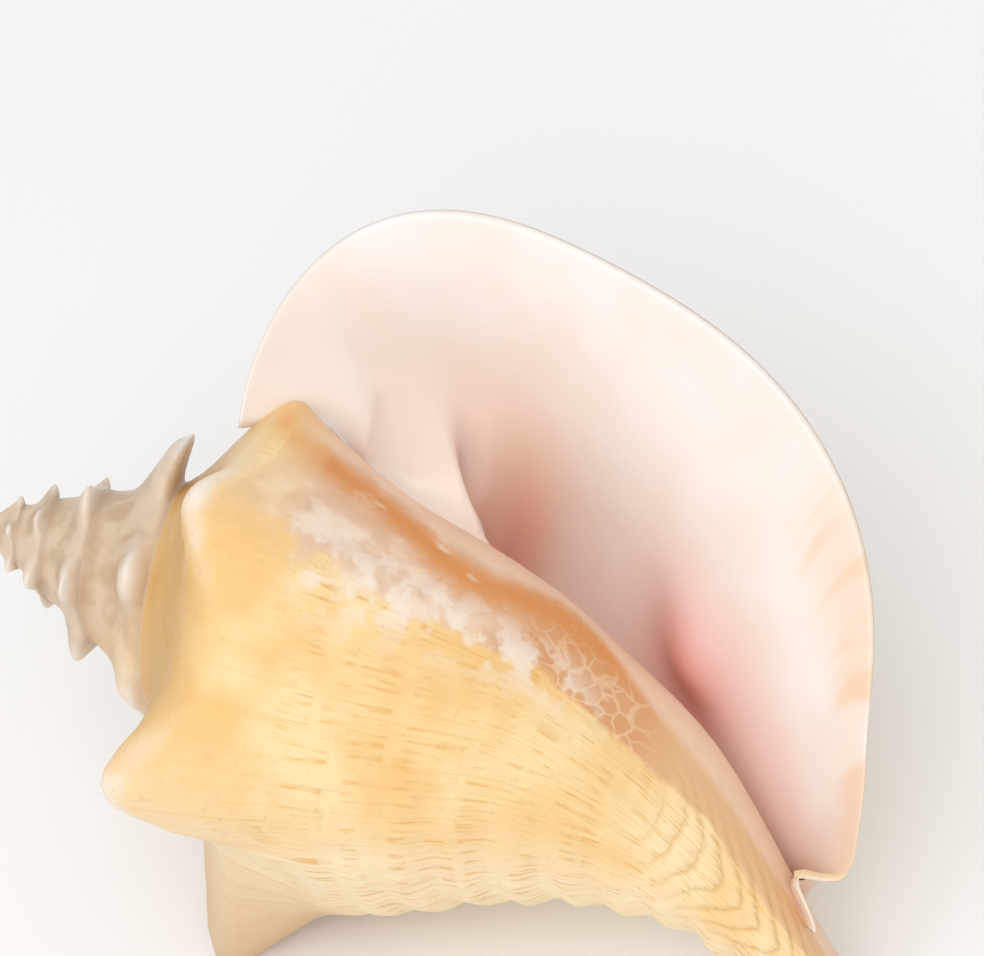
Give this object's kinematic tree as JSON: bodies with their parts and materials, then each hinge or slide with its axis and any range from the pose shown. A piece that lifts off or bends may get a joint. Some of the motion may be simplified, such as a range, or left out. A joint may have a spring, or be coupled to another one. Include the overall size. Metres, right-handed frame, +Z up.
{
  "type": "conch shell",
  "caption": "Large spiral sea shell with a knobbed spire, a spined shoulder, a wide flaring lip around a long opening and a bent canal, lying on its back.",
  "frame": {"origin": "middle of the shell's footprint box, on the table it rests on", "axes": "+Z up from the table, +Y away from someone looking into the opening, +X towards the canal and the lip"},
  "size_m": [0.1794, 0.149, 0.137],
  "materials": {
    "shell": "chalky outside, porcelain gloss in the opening"
  },
  "bodies": {
    "root": {"shell": "shell"}
  },
  "joints": []
}
